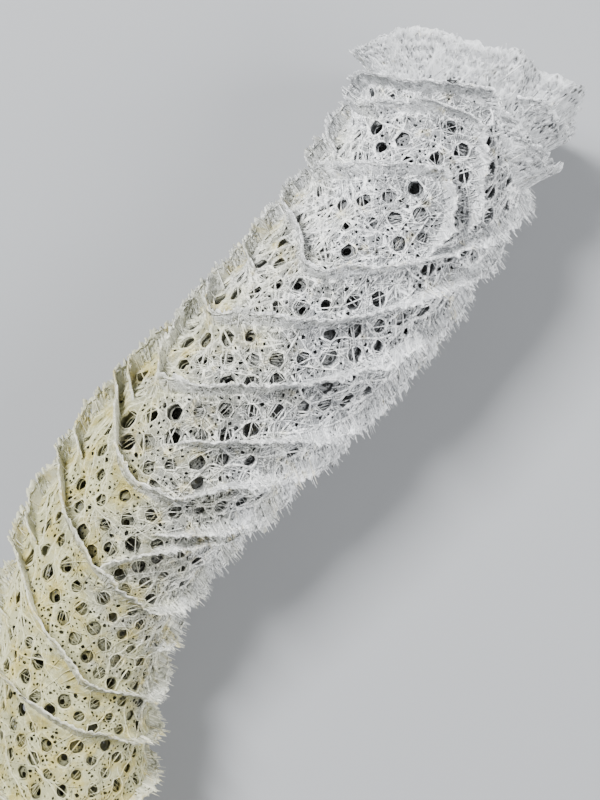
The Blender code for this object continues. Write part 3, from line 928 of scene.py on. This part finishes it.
def disc_points(count, seed):
    """Places spread evenly over the disc, like seeds in a sunflower, slightly shaken."""
    dice = np.random.default_rng(seed)
    number = np.arange(count) + 0.5
    far, turn = PLATE_RADIUS * np.sqrt(number / count), number * math.pi * (3 - math.sqrt(5))
    return far * np.cos(turn) + dice.normal(0, 0.12, count), far * np.sin(turn) + dice.normal(0, 0.12, count)


def on_plate(a, b, above):
    """A point of the dome from its place on the disc."""
    far = np.hypot(a, b)
    along = PLATE_FOOT + PLATE_RISE * (1 - (far / PLATE_RADIUS) ** 2) + above
    return place(np.arctan2(a, b), along, far)


dice = np.random.default_rng(121)
mesh_a, mesh_b = disc_points(340, 122)
mesh_size = dice.uniform(0.45, 0.7, len(mesh_a))
inside = np.hypot(mesh_a, mesh_b) < PLATE_RADIUS - 1.0
mesh_a, mesh_b, mesh_size = mesh_a[inside], mesh_b[inside], mesh_size[inside]
hem_a, hem_b, hem_owner = ring_of_points(mesh_a, mesh_b, mesh_size, 8, 123, 0.12)
web_a, web_b = disc_points(2600, 124)
apart = np.hypot(web_a[:, None] - mesh_a, web_b[:, None] - mesh_b) - mesh_size
free = apart.min(axis=1) > 0.22
flat_a, flat_b = np.r_[hem_a, web_a[free]], np.r_[hem_b, web_b[free]]
triangles = joined(flat_a, flat_b, rings(hem_owner, free.sum()))
sheet("sieve_plate", triangles, on_plate, flat_a, flat_b, 0.25 + 0.1 * ripple(flat_a, flat_b, 3, 125),
      np.stack([flat_a, t_at(PLATE_FOOT) + flat_b], axis=1))

# %% [markdown]
# ## The root tuft
# Below the last holes the felt runs out in long glass fibres, which anchored the sponge. They are
# drawn as a twisted bundle: each fibre keeps its own depth in the bundle and wavers as it goes down.

# %% Root tuft
FIBRES = 620
TUFT_HIGH = 34.0
dice = np.random.default_rng(111)
steps = np.linspace(0, 1, 12)
turn = dice.uniform(0, math.tau, (FIBRES, 1))
depth = np.sqrt(dice.uniform(0.12, 1.0, (FIBRES, 1)))
top = dice.uniform(20, TUFT_HIGH, (FIBRES, 1))
foot = dice.uniform(0.3, 1.6, (FIBRES, 1))
along = foot + (top - foot) * steps
twist = turn + 0.5 * (1 - steps) + 0.08 * np.sin(steps * 9 + turn * 5)
# Higher up the fibres come out to the wall and lie on it
outward = np.clip((along - 16) / 12, 0, 1)
radius = read_off(RADII, along) * (depth + (1.01 - depth) * outward) + 0.35 * np.sin(steps * 7 + turn * 11)
fibres("root_fibres", place(twist, along, radius), dice.uniform(0.12, 0.3, FIBRES), turn * GIRTH_RADIUS,
       t_at(along))

# %% [markdown]
# ## Colours and the node helper
# Colours are written as the hex values a paint program shows. One function turns them to the linear
# values that Blender's shaders expect, and one adds a node with its settings and links.

# %% Finish helpers
def linear(hex_colour):
    """The linear colour that a shader needs, from an sRGB hex value."""
    channels = [int(hex_colour[k:k + 2], 16) / 255 for k in (1, 3, 5)]
    return [c / 12.92 if c <= 0.04045 else ((c + 0.055) / 1.055) ** 2.4 for c in channels] + [1.0]


def add_node(tree, kind, settings=None, links=None):
    """Adds a node, sets its properties and unlinked sockets, and links its sockets.

    A link comes from an output, or from a node, which then stands for its first output.
    """
    made = tree.nodes.new("ShaderNode" + kind)
    for key, value in (settings or {}).items():
        if isinstance(key, str) and hasattr(made, key):
            setattr(made, key, value)
        else:
            made.inputs[key].default_value = value
    for key, source in (links or {}).items():
        tree.links.new(source.outputs[0] if isinstance(source, bpy.types.Node) else source, made.inputs[key])
    return made


# %% [markdown]
# ## Silica felt
# The skeleton is silica glass, but it is spun so fine and holds so much air that it looks like snow:
# white, matte, faintly shiny along single fibres. Its IOR is that of silica, 1.46. Towards the root the
# old felt has yellowed to cream. The real fibres are 0.05 mm thick and less, and their finest pores are
# as small. Nothing finer than a pixel, 0.2 mm, would show, so strands and pores are drawn several times
# as coarse, in the colour and in the bump. In the colour, the grey felt between the strands and the dark
# pores are painted shade. One noise, stretched along a slant, gives straight strands as its thin level
# lines, which is cheaper than a texture for each fibre.

# %% Strands in the finish
# Slant in half turns, and the spacing and length of the strands in mm
STRAND_WAYS = [(0.25, 1.5, 11), (0.75, 1.7, 10), (0.5, 2.3, 12), (0.03, 2.4, 9), (0.31, 0.8, 6),
               (0.7, 0.8, 6)]
STRAND_WIDTH = 0.019


def fine_strands(tree, chart, slant, spacing, length):
    """Straight fine fibres: the level line of a noise that is drawn out along one slant."""
    turned = add_node(tree, "Mapping", {"vector_type": "TEXTURE", 2: (0, 0, slant), 3: (length, spacing, 1)},
                      {0: chart})
    hills = add_node(tree, "TexNoise", {"noise_dimensions": "2D", "Scale": 1.0, "Detail": 1.0},
                     {"Vector": turned})
    level = add_node(tree, "Math", {"operation": "SUBTRACT", 1: 0.5}, {0: hills})
    beside = add_node(tree, "Math", {"operation": "ABSOLUTE"}, {0: level})
    return add_node(tree, "MapRange", {"From Min": STRAND_WIDTH, "From Max": 0.25 * STRAND_WIDTH},
                    {"Value": beside})


def felt_relief(tree, chart, strand_share):
    """Where the strands lie and where the pores are, each as a value from 0 to 1."""
    # The pores are where a web with a cell each 0.8 mm is widest, in patches of 2 mm and more
    web = add_node(tree, "TexVoronoi", {"feature": "DISTANCE_TO_EDGE", "Scale": 1.3}, {"Vector": chart})
    some = add_node(tree, "TexNoise", {"Scale": 0.45, "Detail": 3.0, "Roughness": 0.6}, {"Vector": chart})
    where = add_node(tree, "MapRange", {"From Min": 0.4, "From Max": 0.6}, {"Value": some})
    wide = add_node(tree, "MapRange", {"From Min": 0.08, "From Max": 0.3}, {"Value": web})
    pores = add_node(tree, "Math", {"operation": "MULTIPLY"}, {0: wide, 1: where})
    lying = None
    for slant, spacing, length in STRAND_WAYS:
        strand = fine_strands(tree, chart, slant * math.pi, spacing, length)
        lying = add_node(tree, "Math", {"operation": "MAXIMUM"}, {0: lying, 1: strand}) if lying else strand
    return add_node(tree, "Math", {"operation": "MULTIPLY", 1: strand_share}, {0: lying}), pores


# %% Age in the finish
AGE_SHIFT = 50.0
CREAM = "#BFBC90"
STAIN = "#F6E6A6"


def age_of_felt(tree, chart):
    """A length along the pattern, disturbed by 10 mm patches and the younger right side. Low is old."""
    spread = add_node(tree, "SeparateXYZ", links={0: chart})
    patches = add_node(tree, "TexNoise", {"Scale": 0.1, "Detail": 4.0, "Roughness": 0.6}, {"Vector": chart})
    round_tube = add_node(tree, "Math", {"operation": "DIVIDE", 1: GIRTH_RADIUS}, {0: spread.outputs["X"]})
    right_side = add_node(tree, "Math", {"operation": "SINE"}, {0: round_tube})
    younger = add_node(tree, "Math", {"operation": "MULTIPLY_ADD", 1: 40.0},
                       {0: right_side, 2: spread.outputs["Y"]})
    return add_node(tree, "Math", {"operation": "MULTIPLY_ADD", 1: 110.0}, {0: patches, 2: younger})


def share_by_age(young, old, most):
    """Settings of a range that grows with age between two lengths along the tube."""
    return {"From Min": t_at(young) + AGE_SHIFT, "From Max": t_at(old) + AGE_SHIFT, "To Max": most}


# %% Silica finish
def silica(name, fibre, shade_between, pore_shade, strand_share, bump, roughness, aged):
    """Spun silica glass: fine white fibres over painted shade, grey felt between them and dark pores,
    yellowed with age.
    """
    finish = bpy.data.materials.new(name)
    finish.use_nodes = True
    tree = finish.node_tree
    shader = tree.nodes["Principled BSDF"]
    shader.inputs["Roughness"].default_value = roughness
    shader.inputs["IOR"].default_value = 1.46
    shader.inputs["Specular IOR Level"].default_value = 0.4
    chart = add_node(tree, "UVMap", {"uv_map": "chart"})
    shown, pores = felt_relief(tree, chart, strand_share)
    # Painted shade: the felt between the fibres is grey and its pores are dark, for the shade in the felt's
    # depth
    felt = add_node(tree, "Mix", {"data_type": "RGBA", 6: linear(shade_between), 7: linear(pore_shade)}, {0: pores})
    body = add_node(tree, "Mix", {"data_type": "RGBA", 7: linear(fibre)}, {0: shown, 6: felt.outputs[2]})
    # Old felt is dense: it hides the fibres and most pores, and turns cream
    age = age_of_felt(tree, chart)
    dense = add_node(tree, "MapRange", share_by_age(170, 105, 0.7), {"Value": age})
    grown = add_node(tree, "Mix", {"data_type": "RGBA", 7: linear(fibre)}, {0: dense, 6: body.outputs[2]})
    yellowing = add_node(tree, "MapRange", share_by_age(205, 120, aged), {"Value": age})
    cream = add_node(tree, "Mix", {"data_type": "RGBA", "blend_type": "MULTIPLY", 7: linear(CREAM)},
                     {0: yellowing, 6: grown.outputs[2]})
    # A few yellow stains all over, some 6 mm apart, more of them where the felt is old
    blots = add_node(tree, "TexNoise", {"Scale": 0.16, "Detail": 4.0, "Roughness": 0.7}, {"Vector": chart})
    oftener = add_node(tree, "Math", {"operation": "MULTIPLY_ADD", 1: 0.14}, {0: yellowing, 2: blots})
    stains = add_node(tree, "MapRange", {"From Min": 0.6, "From Max": 0.76, "To Max": 0.8},
                      {"Value": oftener})
    stained = add_node(tree, "Mix", {"data_type": "RGBA", "blend_type": "MULTIPLY", 7: linear(STAIN)},
                       {0: stains, 6: cream.outputs[2]})
    tree.links.new(stained.outputs[2], shader.inputs["Base Color"])
    # Strands stand out, pores sink in, over a grain of 0.3 mm, and old felt is smoother
    grain = add_node(tree, "TexNoise", {"Scale": 3.2, "Detail": 4.0, "Roughness": 0.7}, {"Vector": chart})
    raised = add_node(tree, "Math", {"operation": "MULTIPLY_ADD", 1: 0.4}, {0: grain, 2: shown})
    sunk = add_node(tree, "Math", {"operation": "SUBTRACT"}, {0: raised, 1: pores})
    showing = add_node(tree, "Math", {"operation": "SUBTRACT", 0: 1.0}, {1: dense})
    relief = add_node(tree, "Math", {"operation": "MULTIPLY"}, {0: sunk, 1: showing})
    bumps = add_node(tree, "Bump", {"Strength": bump, "Distance": 0.0003}, {"Height": relief})
    tree.links.new(bumps.outputs["Normal"], shader.inputs["Normal"])
    return finish


# %% [markdown]
# Six mixtures of the same glass. Matted felt is a bright net over painted shade: grey between its strands
# and dark in its pores. The inner felt, the web at the bottom of the holes, is a darker copy of it, painted
# shade all over. Bundles are dense and nearly pure white, with lighter painted shade between their fibres,
# and catch a little light. The cords and needles of the crests are the same, but stay whiter with age,
# which lets the ledges stand out on the cream. The ledges and the cuff are thin felt with a softer
# pattern, with painted shade between their strands and in their pores.

# %% Finishes
# The pieces, the name, the colour of the fibres, the painted shade of the felt between them and in its
# pores, the share of strands, the depth of the bump, the roughness, and how far the felt yellows
FINISHES = [
    (["outer_felt", "sieve_plate"],
     "matted silica felt", "#F8FAFC", "#787A7C", "#363736", 0.84, 0.8, 0.62, 1.0),
    # Painted shade: the inner felt is a darker copy of the outer felt, for the shade at the bottom of the
    # holes
    (["inner_felt"], "inner silica felt", "#A0A2A4", "#6C6E70", "#2E2F2E", 0.7, 0.6, 0.7, 1.0),
    (["long_bundles", "hole_windings", "hole_threads", "cuff_needles", "cuff_rim", "root_fibres"],
     "spun silica fibre bundles", "#FEFFFF", "#BCBEC0", "#9A9C9E", 0.95, 0.4, 0.45, 0.9),
    (["ledge_needles", "ledge_crests"],
     "spun silica fibre of the crests", "#FEFFFF", "#BCBEC0", "#9A9C9E", 0.95, 0.4, 0.45, 0.6),
    (["ledge_fins"], "combed silica felt", "#F8FAFC", "#B6B8BA", "#6C6D6C", 0.75, 0.5, 0.58, 0.75),
    (["cuff"], "thin silica felt", "#F4F6F8", "#BABCBE", "#505150", 0.4, 0.25, 0.58, 1.0),
]
for names, *mixture in FINISHES:
    finish = silica(*mixture)
    for name in names:
        pieces[name].data.materials.append(finish)
    print(finish.name, "on", ", ".join(names))

# %% [markdown]
# Each piece stands for the plain solid, and moves with it.

# %% Dress the solid
for piece in pieces.values():
    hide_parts("sponge")
    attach(piece, "root")
triangles = sum(len(piece.data.loops) - 2 * len(piece.data.polygons) for piece in pieces.values())
print("pieces:", len(pieces), "triangles:", triangles)

# %% [markdown]
# ## Table, light and camera
# The sponge lies on a plain pale table. One soft light stands at the upper left, as in the photograph,
# with a larger and weaker one on the right to fill the shadows, and the camera looks straight down.

# %% Table
bpy.ops.mesh.primitive_plane_add(size=3)
table = bpy.context.object
table.name = "table"
table_finish = bpy.data.materials.new("pale paper")
table_finish.use_nodes = True
table_shader = table_finish.node_tree.nodes["Principled BSDF"]
table_shader.inputs["Base Color"].default_value = linear("#929497")
table_shader.inputs["Roughness"].default_value = 0.85
table.data.materials.append(table_finish)


# %% Light
def soft_light(name, at, size, power):
    """A square area light that points at the middle of the sponge."""
    data = bpy.data.lights.new(name, "AREA")
    data.size, data.energy = size, power
    lamp = bpy.data.objects.new(name, data)
    lamp.location = at
    lamp.rotation_euler = (-lamp.location).to_track_quat("-Z", "Y").to_euler()
    bpy.context.scene.collection.objects.link(lamp)


soft_light("key", (-0.5, 0.5, 0.9), 0.35, 36)
soft_light("fill", (0.9, -0.1, 0.6), 0.9, 21)
world = bpy.data.worlds.new("studio")
world.use_nodes = True
world.node_tree.nodes["Background"].inputs["Color"].default_value = linear("#DADDE0")
world.node_tree.nodes["Background"].inputs["Strength"].default_value = 0.28
bpy.context.scene.world = world

# %% Camera
PIXEL = 0.21
PHOTO_HEIGHT_MM = 800 * PIXEL
# The middle of the photograph, from the root end of the spine, and the height of the spine there
PHOTO_MIDDLE = (37.6, 153.2)
SPINE_HEIGHT = 22.3
camera_data = bpy.data.cameras.new("camera")
camera_data.lens = 105
camera_data.sensor_width = 36
away = PHOTO_HEIGHT_MM * camera_data.lens / camera_data.sensor_width
camera = bpy.data.objects.new("camera", camera_data)
camera.location = [(ROOT_END[0] + PHOTO_MIDDLE[0]) * MM, (ROOT_END[1] + PHOTO_MIDDLE[1]) * MM,
                   (SPINE_HEIGHT + away) * MM]
bpy.context.scene.collection.objects.link(camera)
bpy.context.scene.camera = camera
print("camera:", [round(1000 * c, 1) for c in camera.location], "mm")
